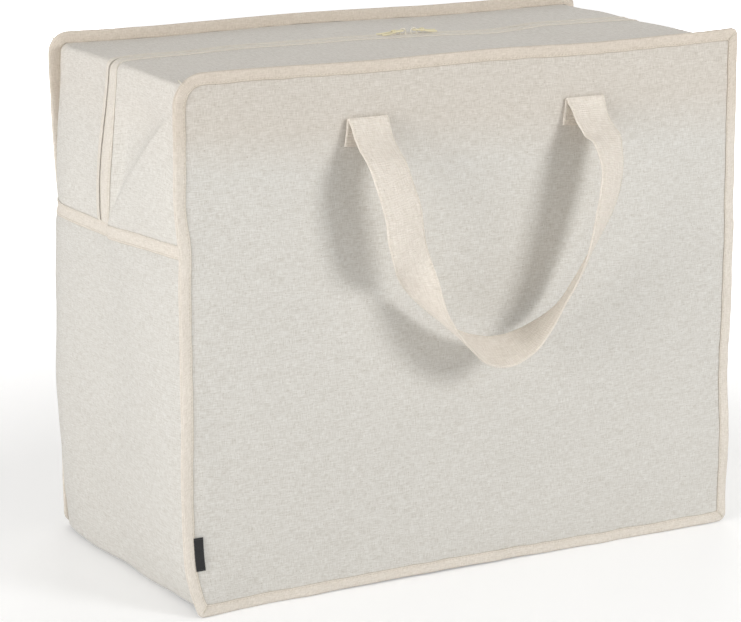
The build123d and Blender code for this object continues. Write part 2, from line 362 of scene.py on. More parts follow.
def outline(face, inset, counts=(96, 14, 150, 190)):
    """Rounded rectangle inside the panel's edge, run once round from the middle of the bottom: straight
    sides joined by quarter circles whose radius is the corner's less the inset."""
    bl, br, tr, tl = [max(r - inset, 1.5) for r in CORNERS[face]]
    half, arc, up, over = counts
    w, low, high = HALF - inset, inset, TOP - inset
    turn = np.linspace(0, math.pi / 2, arc, endpoint=False)

    def line(a, b, n):
        return a + (b - a) * np.arange(n)[:, None] / n

    def corner(cx, cz, r, begin):
        return np.stack([cx + r * np.cos(begin + turn), cz + r * np.sin(begin + turn)], -1)

    q = math.pi / 2
    pieces = [line(np.array([0, low]), np.array([w - br, low]), half), corner(w - br, low + br, br, -q),
              line(np.array([w, low + br]), np.array([w, high - tr]), up), corner(w - tr, high - tr, tr, 0),
              line(np.array([w - tr, high]), np.array([-w + tl, high]), over),
              corner(-w + tl, high - tl, tl, q),
              line(np.array([-w, high - tl]), np.array([-w, low + bl]), up),
              corner(-w + bl, low + bl, bl, 2 * q),
              line(np.array([-w + bl, low]), np.array([0, low]), half)]
    corner_at = np.concatenate([np.full(len(p), -1.0) if k % 2 == 0 else np.arange(arc) / arc
                                for k, p in enumerate(pieces)])
    return np.concatenate(pieces), corner_at


def panel(face, finish):
    """One face of the bag, a row of points across it at each height, ending on the rounded outline."""
    bl, br, tr, tl = CORNERS[face]
    s = np.linspace(0, 1, 190)
    s = s - 0.0225 * np.sin(math.tau * s)
    h = np.linspace(0, 1, 165)
    h = h - 0.0225 * np.sin(math.tau * h)
    z = (0.9 + (TOP - 1.8) * h)[:, None]

    def edge(r_low, r_high):
        low = np.clip(r_low - z, 0, r_low)
        high = np.clip(z - (TOP - r_high), 0, r_high)
        cut_low = r_low - np.sqrt(np.maximum(r_low ** 2 - low ** 2, 0))
        cut_high = r_high - np.sqrt(np.maximum(r_high ** 2 - high ** 2, 0))
        return HALF - 0.9 - cut_low - cut_high

    x = -edge(bl, tl) + (edge(bl, tl) + edge(br, tr)) * s[None]
    z = np.broadcast_to(z, x.shape)
    p = face_point(face, x, z, FACE + relief(face, x, z))
    name = "front" if face < 0 else "back"
    piece = cloth(name + " panel cloth", p, x * -face, z, CLOTH, finish, np.array([0, face, 0]))
    fixed(piece, "shell", "linen_cloth", name + "_panel")
    return piece


def binding(face, finish, thread):
    """The folded tape round a face's raw edge: at each step along the edge a U-shaped ring, its width run
    between the outer outline and the inner one, with a sewn groove, pleats at the corners and one lapped
    end."""
    outer, corner_at = outline(face, 0.0)
    inner, _ = outline(face, RIM_WIDTH)
    step = np.linalg.norm(np.roll(outer, -1, 0) - outer, axis=-1)
    run = running(step[:-1])
    depth = RIM_OUT - SEAM
    section = np.array([(1.0, 0.22), (0.965, 0.0), (0.90, 0.02), (0.84, 0.16), (0.78, 0.02), (0.62, -0.06),
                        (0.42, -0.1), (0.22, -0.06), (0.10, 0.12), (0.035, 0.55), (0.0, 1.3), (0.0, 2.7),
                        (0.035, depth - 0.55), (0.12, depth - 0.1), (0.40, depth), (0.78, depth),
                        (0.84, depth - 0.14), (0.965, depth), (1.0, depth - 0.25), (0.985, depth - 0.78),
                        (0.5, depth - 0.8), (0.14, depth - 0.9), (0.12, depth / 2), (0.14, 0.9), (0.5, 0.8),
                        (0.985, 0.72)])
    f, d = section[:, 0][None], section[:, 1][None]
    ragged = 0.035 * crumple(run, 0 * run, 34, 31 + face)[:, None] * ease(f, 0.6, 1.0)
    xz = outer[:, None] + (inner - outer)[:, None] * (f + ragged)[..., None]
    x, z = xz[..., 0], xz[..., 1]
    sign = np.where(d < depth / 2, 1.0, -1.0)
    skin = (d < 0.5) | (d > depth - 0.5)
    c = corner_at[:, None]
    at_corner = (c >= 0) * np.sin(np.clip(c, 0, 1) * math.pi) ** 0.5
    pleat = at_corner * (0.55 * np.exp(-np.abs(c - 0.5) / 0.10) + 0.22 * np.sin(c * 19)) * ease(f, 0.15, 0.7)
    where = 30.0 if face < 0 else -60.0
    on_bottom = (np.broadcast_to(z, x.shape) < 30) * 1.0
    lap = 0.75 * ease(x + 0.55 * z, where, where + 0.7)
    lap = lap * (1 - ease(x + 0.3 * z, where + 14, where + 34)) * on_bottom
    wander = 2.4 * crumple(run, 0 * run, 60, 35)
    pucker = 0.10 * np.sin(run * math.tau / 9.3 + wander)[:, None] * hump(f, 0.7, 0.25)
    soft = 0.16 * crumple(run[:, None], f * 9, 20, 37 + face)
    out = RIM_OUT - d + skin * sign * (pleat + lap + pucker + soft)
    p = face_point(face, x, z, out)
    name = "front" if face < 0 else "back"
    girth = running(np.hypot(np.diff(section[:, 0]) * RIM_WIDTH, np.diff(section[:, 1])))
    girth = np.append(girth, girth[-1] + 0.6)
    piece = wrapped(name + " binding tape", p, finish, closed=True, length=run, girth=girth)
    fixed(piece, "shell", "binding_tape", name + "_binding")
    for word, out, lift in (("stitches", RIM_OUT - 0.02, face), ("inner stitches", SEAM + 0.06, -face)):
        line = face_point(face, *(outer + (inner - outer) * 0.84).T, out + 0 * run)
        row = stitches(f"{name} binding {word}", line, facing([0, lift, 0], line), 3.3, thread, thick=0.46,
                       closed=True)
        fixed(row, "shell", "binding_tape")
    s = np.linspace(-3.2, 3.2, 34)
    zig = 0.55 * (-1.0) ** np.arange(34)
    for k, (corner_x, corner_z, tilt) in enumerate(((-1, 0, 1), (1, 0, -1), (1, 1, 1), (-1, 1, -1))):
        cx, cz = corner_x * (HALF - 6.5), corner_z * TOP + (1 - 2 * corner_z) * 6.5
        bar = face_point(face, cx + s * 0.7 + zig * 0.7 * tilt, cz + s * 0.7 * tilt - zig * 0.7,
                         RIM_OUT + 0.55 + 0 * s)
        tack = stitches(f"{name} corner tack {k + 1}", bar, facing([0, face, 0], bar), 1.25, thread,
                        share=1.0)
        fixed(tack, "shell", "binding_tape")


def crease(side, y, z):
    """A fold in the cloth above the cross seam, running from the seam by the zip up to the front corner:
    raised on the front side of its line and sunk on the other, both dying away with distance."""
    along = CREASE_HIGH - CREASE_LOW
    length = np.hypot(*along)
    if side > 0:
        y = y - 8
    ry, rz = y - CREASE_LOW[0], z - CREASE_LOW[1]
    run = (ry * along[0] + rz * along[1]) / length
    off = (ry * -along[1] + rz * along[0]) / length
    bow = off + 1.2 * np.sin(np.clip(run / length, 0, 1) * math.pi)
    ends = ease(run, -30, 6) * (1 - 0.6 * ease(run, 100, length + 14)) * ease(ZIP - y, 12, 29)
    raised = 5.0 * (1 - np.clip(bow / 95, 0, 1))
    sunk = (5.0 - 16.0 * (1 - np.exp(np.minimum(bow, 0) / 12))) * (1 - ease(-bow, 26, 95))
    return ends * np.where(bow > 0, raised, sunk) * (1.0 if side < 0 else 0.35)


def gusset(side, q, y, above=0.0):
    """The strip that joins the two faces. Across, its section is half a rounded rectangle by q: 0 to 1 the
    bottom, 2 the lower corner, 3 the side up to the cross seam, 4 the side above, 5 the upper corner, 6 the
    top. The corner radii ease from those of the seams to tighter ones between them; the cloth swells
    outwards by a root of one less a power of the distance from the middle, sags to the floor below, and
    crowns along the zip."""
    q, y = np.broadcast_arrays(np.asarray(q, float), np.asarray(y, float))
    t = np.clip(y / SEAM, -1, 1)
    front, back = ease(-t, 0.5, 1), ease(t, 0.55, 1)
    low_k, top_k = (0, 3) if side < 0 else (1, 2)
    low_front, low_back = [max(CORNERS[face][low_k] - SIDE_INSET, 2) for face in (-1, 1)]
    low_r = 8 + front * (low_front - 8) + back * (low_back - 8)
    top_front, top_back = [max(CORNERS[face][top_k] - SIDE_INSET, 3) for face in (-1, 1)]
    top_r = 3.6 + ease(-t, 0.8, 1) * (top_front - 3.6) + ease(t, 0.8, 1) * (top_back - 3.6)
    top_r = top_r + 6.0 * hump(y, ZIP - 6, 15)
    w, low, high = HALF - SIDE_INSET, SIDE_INSET, TOP - TOP_INSET
    k = np.clip(np.floor(q), 0, 5).astype(int)
    s = q - k
    a = s * math.pi / 2
    x = np.choose(k, [s * (w - low_r), w - low_r + low_r * np.sin(a), w + 0 * s, w + 0 * s,
                      w - top_r + top_r * np.cos(a), (w - top_r) * (1 - s)])
    z = np.choose(k, [low + 0 * s, low + low_r * (1 - np.cos(a)), low + low_r + s * (CROSS - low - low_r),
                      CROSS + s * (high - top_r - CROSS), high - top_r + top_r * np.sin(a), high + 0 * s])
    nx = np.choose(k, [0 * s, np.sin(a), 1 + 0 * s, 1 + 0 * s, np.cos(a), 0 * s])
    nz = np.choose(k, [-1 + 0 * s, -np.cos(a), 0 * s, 0 * s, np.sin(a), 1 + 0 * s])
    cut = np.interp(q, np.arange(7), CUT)
    round_off = (1 - np.abs(t) ** (3 + 4 * ease(t, 0, 0.9))).clip(0) ** 0.42
    swell = soft_curve(z, [-30, 0, 60, 150, 230, 300, 308, 316, 345, 380, 430, 452, 480],
                       [8, 9, 13, 17, 18, 16.5, 13.6, 14.5, 13.0, 9, 2.5, 0.8, 0.5], 7)
    swell = swell * (1 + 0.62 * ease(t, -0.1, 0.8)) if side < 0 else swell * 0.62
    dx_out = swell * round_off * np.clip(x / w, 0, 1) ** 1.5
    sag = 10.2 * round_off * (1 - ease(z, low, 85))
    crown = soft_curve(side * x,
                       [-275, -262, -240, -200, -150, -60, 0, 60, 100, 130, 155, 200, 240, 262, 275],
                       [0.3, 0.8, 2.3, 2.7, 4.2, 3.4, 2.6, 1.5, 0.2, 1.4, 3.6, 2.7, 2.3, 0.8, 0.3], 9)
    over = ease(z, 415, high) * (1 - np.abs((t - 0.13) / np.where(t > 0.13, 0.87, 1.13)) ** 2.4).clip(0)
    near_seam = (1 - np.abs(t)) * SEAM
    side_zone = ease(z, CROSS - 40, CROSS) * (1 - ease(z, 400, 440))
    loose = np.minimum(near_seam / 26, 1)
    over_top = ease(cut, 700, 800)
    across_top = side * (CUT[6] - cut)
    walls = 0.9 * crumple(cut, y, 115, 41 + side) + 0.30 * crumple(cut, y, 44, 43 + side)
    lid = 0.9 * crumple(across_top, y, 105, 42) + 0.40 * crumple(across_top, y, 40, 48)
    amount = loose * (walls * (1 - over_top) + lid * over_top)
    gathered = 0.3 * np.exp(-near_seam / 8) * np.minimum(near_seam / 2, 1)
    amount = amount + gathered * crumple(across_top, y, 17, 46)
    amount = amount * (1 - 0.6 * ease(cut, 690, 720)) * ease(cut, 20, 300)
    amount = amount + loose * side_zone * crease(side, y, z)
    at_cross = np.exp(-np.abs(cut - CUT[3]) / 7.0)
    z = z + 6.0 * ease(-t, -0.3, 1.0) * hump(z, CROSS, 75)
    amount = amount - 1.1 * at_cross + 0.35 * at_cross * crumple(y, 0 * y, 24, 47)
    amount = amount + above
    x = side * (x + dx_out + nx * amount)
    z = z - sag + crown * over + nz * amount
    front_weight = 1 - ease(t, -1, 0.6)
    back_weight = ease(t, -0.6, 1)
    fx, fy, fz = sewn(-1, x, z)
    bx, by, bz = sewn(1, x, z)
    p = np.stack([x + front_weight * fx + back_weight * bx, y - front_weight * fy + back_weight * by,
                  z + front_weight * fz + back_weight * bz], -1)
    return p, cut


def run_of(knots):
    """The values of q over runs that each have their own number of steps."""
    return np.concatenate([np.linspace(a, b, n, endpoint=(b == knots[-1][1])) for a, b, n in knots])


def gusset_cloth(name, side, knots, y, finish):
    """One cut piece of the gusset, over a run of q and a span of y."""
    p, cut = gusset(side, run_of(knots)[:, None], y[None])
    out = p - np.array([0, 0, TOP / 2 - 1.5])
    out[..., 1] = 0
    piece = cloth(name, p, np.broadcast_to(y[None], cut.shape), cut, CLOTH, finish, unit(out))
    return piece


def tape_ring(across, height):
    """A tape's section: over its top at these heights, and back along its flat underside."""
    return np.concatenate([across, across[::-1][1:-1]]), np.concatenate([height, np.zeros(len(across) - 2)])


def strip(side, knots, edges, rise, thick, name, finish, wave=0.0, seed=1):
    """A tape sewn on the gusset: a thin closed ring across it, rounded at both edges, carried along q."""
    q = run_of(knots)
    a, b = edges
    across = np.array([0.0, 0.012, 0.06, 0.13, 0.3, 0.5, 0.7, 0.87, 0.94, 0.988, 1.0])
    height = np.array([0.3, 0.85, 1.0, 0.8, 1.0, 1.03, 1.0, 0.8, 1.0, 0.85, 0.3]) * thick
    ring_y, ring_h = tape_ring(across, height)
    ragged = wave * crumple(np.interp(q, np.arange(7), CUT), 0 * q, 30, seed)[:, None]
    rings, cut = gusset(side, q[:, None], a + (b - a) * ring_y[None] + ragged, above=rise + ring_h[None])
    girth = np.concatenate([running(np.abs(np.diff(ring_y)) * abs(b - a)), [0]])
    return wrapped(name, rings, finish, length=cut[:, 0], girth=girth)


def row_on_gusset(name, side, knots, y, rise, thread, pitch=3.2, thick=0.45):
    """A row of stitches along the gusset at one y, lifted outwards."""
    q = run_of(knots)
    p, _ = gusset(side, q, y + 0 * q, above=rise)
    up, _ = gusset(side, q, y + 0 * q, above=rise + 1.0)
    return stitches(name, p, up - p, pitch, thread, thick=thick)


def zip_coil(name, side, face, finish):
    """One side of the zip: a flattened spiral laid along the gap. Its point turns once for each tooth; the
    two sides are half a turn apart."""
    teeth, per_turn = 200, 8
    q_table = np.linspace(3.0, 6.0, 500)
    _, cut = gusset(side, q_table, 0 * q_table)
    angle = np.linspace(0, teeth * math.tau, teeth * per_turn)
    run = cut[0] + 3 + (cut[-1] - cut[0] - 3) * angle / angle[-1]
    q = np.interp(run, cut, q_table)
    middle = ZIP + face * 1.35
    turn = angle + (0 if face < 0 else math.pi)
    y = middle - face * 1.55 * np.cos(turn)
    path, _ = gusset(side, q, y, above=-1.9 + 0.62 * np.sin(turn))
    ring = tube(path, 0.34, 5, (0, 1, 0.2))
    return wrapped(name, ring, finish)


# ---------------------------------------------------------------- materials


def new_group(name, inputs, outputs):
    """An empty shader node group with named sockets."""
    group = bpy.data.node_groups.new(name, "ShaderNodeTree")
    for label, kind, value in inputs:
        socket = group.interface.new_socket(name=label, in_out="INPUT", socket_type=kind)
        if value is not None:
            socket.default_value = value
    for label, kind in outputs:
        group.interface.new_socket(name=label, in_out="OUTPUT", socket_type=kind)
    return group, group.nodes.new("NodeGroupInput").outputs, group.nodes.new("NodeGroupOutput").inputs


def fill(tree, socket, value):
    """Links a socket to another node's output, or sets its own value."""
    if isinstance(value, bpy.types.NodeSocket):
        tree.links.new(value, socket)
    else:
        socket.default_value = value


def node(tree, kind, settings=None, **inputs):
    """A node with its settings and inputs filled in. An input goes by its name, or by i and its number."""
    made = tree.nodes.new(kind)
    for key, value in (settings or {}).items():
        setattr(made, key, value)
    for key, value in inputs.items():
        numbered = key[0] == "i" and key[1:].isdigit()
        fill(tree, made.inputs[int(key[1:]) if numbered else key.replace("_", " ")], value)
    return made


def maths(tree, operation, *values):
    """One arithmetic node's output."""
    inputs = {f"i{k}": value for k, value in enumerate(values)}
    return node(tree, "ShaderNodeMath", {"operation": operation}, **inputs).outputs[0]


def times(tree, *values):
    """Values multiplied together, one after another."""
    total = values[0]
    for value in values[1:]:
        total = maths(tree, "MULTIPLY", total, value)
    return total


def clamped(tree, a, b, operation):
    """An arithmetic node's output kept between zero and one."""
    return node(tree, "ShaderNodeMath", {"operation": operation, "use_clamp": True}, i0=a, i1=b).outputs[0]


def ramp(tree, value, *ends):
    """A value stretched from one range to another, nought to one where no other is given."""
    names = ("From_Min", "From_Max", "To_Min", "To_Max")
    return node(tree, "ShaderNodeMapRange", Value=value, **dict(zip(names, ends))).outputs[0]


def split(tree, vector):
    """A vector's three parts."""
    return node(tree, "ShaderNodeSeparateXYZ", Vector=vector).outputs


def noise(tree, at, scale, detail, **more):
    """Soft noise, about one half."""
    return node(tree, "ShaderNodeTexNoise", Vector=at, Scale=scale, Detail=detail, **more).outputs["Fac"]


def weave_group():
    """Plain weave on the cut cloth: threads one way and the other, each with its own thickness and tone
    along its length, the odd dark fleck, and the height of the threads."""
    group, given, result = new_group(
        "plain weave",
        [("Vector", "NodeSocketVector", None), ("Threads", "NodeSocketFloat", 1100.0),
         ("Slub length", "NodeSocketFloat", 0.06), ("Fleck share", "NodeSocketFloat", 0.72)],
        [("Tone", "NodeSocketFloat"), ("Fleck", "NodeSocketFloat"), ("Height", "NodeSocketFloat")])
    parts, threads = split(group, given["Vector"]), given["Threads"]
    long_way = times(group, threads, given["Slub length"])
    tones = []
    for a, b in ((0, 1), (1, 0)):
        across, along = times(group, parts[a], threads), times(group, parts[b], long_way)
        at = node(group, "ShaderNodeCombineXYZ", X=across, Y=along, Z=float(a) * 7.3).outputs[0]
        tones.append(noise(group, at, 1.0, 1.5, Roughness=0.6))
    tone = times(group, maths(group, "ADD", *tones), 0.5)
    humps = [maths(group, "ABSOLUTE", maths(group, "SINE", times(group, parts[a], threads, math.pi)))
             for a in (0, 1)]
    height = maths(group, "ADD", times(group, maths(group, "MAXIMUM", *humps), 0.55), times(group, tone, 0.9))
    short = times(group, parts[0], times(group, threads, 0.42))
    thin = times(group, parts[1], times(group, threads, 0.9))
    at = node(group, "ShaderNodeCombineXYZ", X=short, Y=thin, Z=3.1).outputs[0]
    speck = noise(group, at, 1.0, 2.0, Roughness=0.5)
    fleck = clamped(group, maths(group, "SUBTRACT", speck, given["Fleck share"]), 9.0, "MULTIPLY")
    for label, value in (("Tone", tone), ("Fleck", fleck), ("Height", height)):
        group.links.new(value, result[label])
    return group


def mottle_group():
    """Slow unevenness over a piece: broad patches of tone, and finer ones within them, about one half."""
    group, given, result = new_group(
        "cloth mottle", [("Vector", "NodeSocketVector", None), ("Size", "NodeSocketFloat", 9.0)],
        [("Patches", "NodeSocketFloat"), ("Fine", "NodeSocketFloat")])
    group.links.new(noise(group, given["Vector"], given["Size"], 2.0), result["Patches"])
    group.links.new(noise(group, given["Vector"], times(group, given["Size"], 62.0), 3.0), result["Fine"])
    return group


def painted_shadow_line_group():
    """Painted shadow: a narrow darker line along a tape at one distance from its edge, where its stitches or
    a raw edge would throw shade: one less the distance from the line over its width."""
    group, given, result = new_group(
        "painted shadow line", [("Vector", "NodeSocketVector", None), ("Place", "NodeSocketFloat", 0.0017),
                      ("Width", "NodeSocketFloat", 0.0005)], [("Line", "NodeSocketFloat")])
    across = split(group, given["Vector"])[1]
    away = maths(group, "ABSOLUTE", maths(group, "SUBTRACT", across, given["Place"]))
    near = clamped(group, 1.0, maths(group, "DIVIDE", away, given["Width"]), "SUBTRACT")
    group.links.new(near, result["Line"])
    return group


WEAVE, MOTTLE, PAINTED_SHADOW_LINE = weave_group(), mottle_group(), painted_shadow_line_group()


def linear(r, g, b):
    """A colour given as it looks on a screen, turned into light: each part to the power of about 2.2."""
    parts = [((c / 255 + 0.055) / 1.055) ** 2.4 if c > 10 else c / 255 / 12.92 for c in (r, g, b)]
    return (*parts, 1.0)


def use_group(tree, group, **inputs):
    """A group placed in a material with its own values."""
    return node(tree, "ShaderNodeGroup", {"node_tree": group}, **inputs).outputs


def mix(tree, factor, a, b, kind="MIX"):
    """A colour between a and b."""
    made = node(tree, "ShaderNodeMix", {"data_type": "RGBA", "blend_type": kind}, i0=factor, i6=a, i7=b)
    return made.outputs[2]


def new_finish(name):
    """A material, its nodes, its shader's inputs and the place on its piece."""
    made = bpy.data.materials.new(name)
    made.use_nodes = True
    tree = made.node_tree
    place = tree.nodes.new("ShaderNodeTexCoord").outputs["Object"]
    return made, tree, tree.nodes["Principled BSDF"].inputs, place


def raise_surface(tree, surface, height, strength, distance):
    """Bump from a height."""
    raised = node(tree, "ShaderNodeBump", Height=height, Strength=strength, Distance=distance)
    tree.links.new(raised.outputs[0], surface["Normal"])


def textile(name, light, dark, fleck, threads, slub=0.06, fleck_share=0.645, bump=0.3, painted_upper_shade=None, ribs=None,
            sheen=0.12, painted_shadow_lines=()):
    """Woven cloth: the weave's tone runs between the dark and the light thread, flecks lie over it, broad
    patches darken it at random, and painted shade, a warmer colour multiplied in above a height, comes in
    where it is given. Ribs cross a tape at their own pitch, and painted shadow lines run along it: place,
    width and depth."""
    made, tree, surface, place = new_finish(name)
    at = node(tree, "ShaderNodeUVMap", {"uv_map": "cloth"}).outputs[0]
    weave = use_group(tree, WEAVE, Vector=at, Threads=threads, Slub_length=slub, Fleck_share=fleck_share)
    mottle = use_group(tree, MOTTLE, Vector=place, Size=9.0)
    spread = 0.25 / 1.35
    colour = mix(tree, ramp(tree, weave["Tone"], 0.5 - spread, 0.5 + spread), dark, light)
    colour = mix(tree, times(tree, mottle["Patches"], 0.10), colour, dark)
    colour = mix(tree, times(tree, mottle["Fine"], 0.34), colour, dark)
    # painted shade: above about 0.39 m, slanting a little with x, the colour is multiplied by a warmer tint
    if painted_upper_shade is not None:
        parts = split(tree, place)
        slant = maths(tree, "MULTIPLY_ADD", parts[0], 0.02, parts[2])
        wander = maths(tree, "MULTIPLY_ADD", mottle["Patches"], 0.030, slant)
        colour = mix(tree, ramp(tree, wander, 0.385, 0.425), colour, painted_upper_shade, "MULTIPLY")
    colour = mix(tree, times(tree, weave["Fleck"], 0.75), colour, fleck)
    # painted shadow: each of these lines mixes the colour towards the fleck colour, where the tape's edges
    # and stitches would throw shade
    for line_at, line_width, depth in painted_shadow_lines:
        line = use_group(tree, PAINTED_SHADOW_LINE, Vector=at, Place=line_at * MM, Width=line_width * MM)["Line"]
        colour = mix(tree, times(tree, line, depth), colour, fleck)
    tree.links.new(colour, surface["Base Color"])
    tree.links.new(maths(tree, "MULTIPLY_ADD", weave["Tone"], -0.12, 0.94), surface["Roughness"])
    surface["Specular IOR Level"].default_value = 0.22
    surface["Sheen Weight"].default_value = sheen
    surface["Sheen Roughness"].default_value = 0.6
    height = weave["Height"]
    if ribs is not None:
        rib = maths(tree, "SINE", times(tree, split(tree, at)[0], math.tau / (ribs * MM)))
        height = maths(tree, "MULTIPLY_ADD", rib, 0.5, height)
    raise_surface(tree, surface, height, bump, 0.0006)
    return made


def thread_finish(name, colour):
    """Twisted sewing thread: fine slanting strands as bump, and a little unevenness of tone."""
    made, tree, surface, place = new_finish(name)
    mottle = use_group(tree, MOTTLE, Vector=place, Size=60.0)
    darker = tuple(c * 0.78 for c in colour[:3]) + (1.0,)
    tree.links.new(mix(tree, mottle["Fine"], colour, darker), surface["Base Color"])
    strand = node(tree, "ShaderNodeTexWave", {"bands_direction": "DIAGONAL"}, Vector=place, Scale=900.0,
                  Distortion=0.5)
    raise_surface(tree, surface, strand.outputs["Fac"], 0.3, 0.0002)
    tree.links.new(maths(tree, "MULTIPLY_ADD", mottle["Patches"], 0.2, 0.6), surface["Roughness"])
    surface["Sheen Weight"].default_value = 0.1
    return made


def painted_metal(name, colour):
    """Slider metal under cream enamel: orange-peel bump, and rubbed patches that show darker metal."""
    made, tree, surface, place = new_finish(name)
    mottle = use_group(tree, MOTTLE, Vector=place, Size=70.0)
    rubbed = ramp(tree, mottle["Fine"], 0.62, 0.74)
    tree.links.new(mix(tree, rubbed, colour, (0.36, 0.33, 0.28, 1.0)), surface["Base Color"])
    tree.links.new(times(tree, rubbed, 0.6), surface["Metallic"])
    tree.links.new(maths(tree, "MULTIPLY_ADD", mottle["Patches"], 0.2, 0.28), surface["Roughness"])
    raise_surface(tree, surface, mottle["Fine"], 0.12, 0.0002)
    return made


FLECK_AND_SHADE = linear(146, 128, 106)
# The last colour given to the linen, the top's linen and the binding tape is painted shade, multiplied into
# their upper part to make it warmer and, on the linen and the tape, darker.
linen = textile("linen cloth", linear(234, 233, 229), linear(196, 191, 182), FLECK_AND_SHADE, 1500.0, slub=0.10,
                painted_upper_shade=(0.955, 0.918, 0.885, 1.0))
top_linen = textile("linen cloth of the top", linear(238, 236, 231), linear(199, 194, 185), FLECK_AND_SHADE, 1500.0,
                    slub=0.10, painted_upper_shade=(1.01, 0.995, 0.985, 1.0))
# painted shadow: the tape's three lines darken it along one edge, along its stitch row and near its other
# edge
tape = textile("binding tape", linear(242, 235, 226), linear(210, 201, 188), FLECK_AND_SHADE, 1400.0, slub=0.15,
               fleck_share=0.69, ribs=1.3, painted_shadow_lines=((0.0, 0.7, 0.7), (1.75, 0.45, 0.35), (10.4, 0.5, 0.2)),
               painted_upper_shade=(0.905, 0.875, 0.845, 1.0))
zip_cloth = textile("zip tape", linear(240, 234, 225), linear(208, 200, 188), FLECK_AND_SHADE, 1400.0, slub=0.15,
                    fleck_share=0.70)
webbing = textile("handle webbing", linear(247, 240, 231), linear(217, 207, 194), FLECK_AND_SHADE, 1100.0, slub=0.12,
                  fleck_share=0.69, bump=0.45, ribs=2.1)
thread = thread_finish("sewing thread", linear(238, 230, 214))
cord_finish = thread_finish("cord", linear(243, 234, 200))
metal = painted_metal("slider enamel", linear(232, 226, 212))
tag = textile("woven tag", linear(38, 37, 38), linear(20, 20, 21), linear(60, 58, 58), 1900.0, sheen=0.3)
tag_line = thread_finish("tag edge thread", linear(70, 69, 70))


# ---------------------------------------------------------------- panels, bindings and gusset

def seam_to_seam(reach, n, crowding):
    """Steps across the gusset, closer together near both seams: a sine over part of its quarter turn."""
    quarter = math.pi / 2 * crowding
    return reach * np.sin(np.linspace(-1, 1, n) * quarter) / math.sin(quarter)


def past_cross(level):
    """The q that lies this far above the cross seam, or below it where level is negative."""
    return 3.0 + np.where(level > 0, level / ABOVE_CROSS, level / BELOW_CROSS)


def cross_seam(side, word):
    """The tape over the join of side panel and upper gusset, with its two rows of stitches."""
    y, width = seam_to_seam(SEAM + 0.8, 110, 0.9), 12.0
    across = np.array([0.0, 0.02, 0.08, 0.14, 0.3, 0.5, 0.7, 0.86, 0.92, 0.98, 1.0])
    rise = np.array([0.35, 0.85, 1.0, 0.82, 1.02, 1.05, 1.02, 0.82, 1.0, 0.85, 0.35]) * 0.95
    ring_s, ring_h = tape_ring(across, rise)
    uneven, wander = 0.5 * crumple(y, 0 * y, 40, 61)[:, None], 0.5 * crumple(y, 0 * y, 90, 62)[:, None]
    q = past_cross((ring_s[None] - 0.5) * (width + uneven) + wander)
    rings, _ = gusset(side, q, np.broadcast_to(y[:, None], q.shape), above=0.1 + ring_h[None])
    girth = np.concatenate([running(np.abs(np.diff(ring_s)) * width), [0]])
    seam = wrapped(word + " cross seam tape", rings, tape, length=y - y[0], girth=girth)
    fixed(seam, "shell", "binding_tape", word + "_seam_tape")
    for k, level in enumerate((-4.4, 4.4)):
        p, _ = gusset(side, past_cross(level) + 0 * y, y, above=0.92)
        up, _ = gusset(side, past_cross(level) + 0 * y, y, above=2.0)
        row = stitches(f"{word} cross seam stitches {k + 1}", p[4:-4], (up - p)[4:-4], 3.1, thread)
        fixed(row, "shell", "binding_tape")


def upper_gusset(side, word, face, half):
    """Half of the cloth above the cross seam, from its panel's seam to the zip, with its hem, zip tape, coil
    and stitches."""
    start, end, n = (-SEAM - 1.0, ZIP - GAP - 0.2, 62) if face < 0 else (SEAM + 1.0, ZIP + GAP + 0.2, 54)
    y = start + (end - start) * np.linspace(0, 1, n) ** 1.35
    hem = (FRONT_HEM, ZIP - GAP) if face < 0 else (ZIP + GAP, BACK_HEM)
    hidden = (ZIP - 12, ZIP - 0.7) if face < 0 else (ZIP + 0.7, ZIP + 12)
    rows = (hem[0] + 1.7, hem[1] - 1.6) if face < 0 else (hem[1] - 1.6,)
    cloths, tapes = [f"{half}_{word}_upper_gusset"], [f"{half}_zip_tape_{word}"]
    if side < 0:
        cloths, tapes = cloths + [f"{half}_flap", f"{half}_top_seam"], tapes + [f"{half}_zip_tape_middle"]
    name = f"{half} {word} "
    upper = gusset_cloth(name + "upper gusset cloth", side, UP_KNOTS, y[::-face], top_linen)
    flapped(upper, face, side, "linen_cloth", *cloths)
    band = strip(side, UP_KNOTS, hem, 0.05, 0.8, name + "zip hem", zip_cloth, wave=0.12, seed=71)
    flapped(band, face, side, "zip_tape", *tapes)
    flapped(strip(side, UP_KNOTS, hidden, -2.4, 0.5, name + "zip tape", zip_cloth), face, side, "zip_tape")
    flapped(zip_coil(name + "zip coil", side, face, zip_cloth), face, side, "zip_tape")
    for k, line in enumerate(rows):
        row = row_on_gusset(f"{name}zip stitches {k + 1}", side, UP_KNOTS, line, 0.82, thread)
        flapped(row, face, side, "zip_tape")


for face, half in FACES:
    panel(face, linen)
    binding(face, tape, thread)
for side, word in SIDES:
    y = seam_to_seam(SEAM + 1.0, 96, 0.86)
    lower = gusset_cloth(word + " side panel cloth", side, [(1.0, 2.0, 10), (2.0, 3.0, 100)], y, linen)
    fixed(lower, "shell", "linen_cloth", word + "_side_panel")
    floor_half = gusset_cloth(word + " half of the bottom cloth", side, [(0.0, 1.0, 70)], y, linen)
    fixed(floor_half, "shell", "linen_cloth", *(["bottom_panel"] if side < 0 else []))
    cross_seam(side, word)
    for face, half in FACES:
        upper_gusset(side, word, face, half)


# ---------------------------------------------------------------- handles

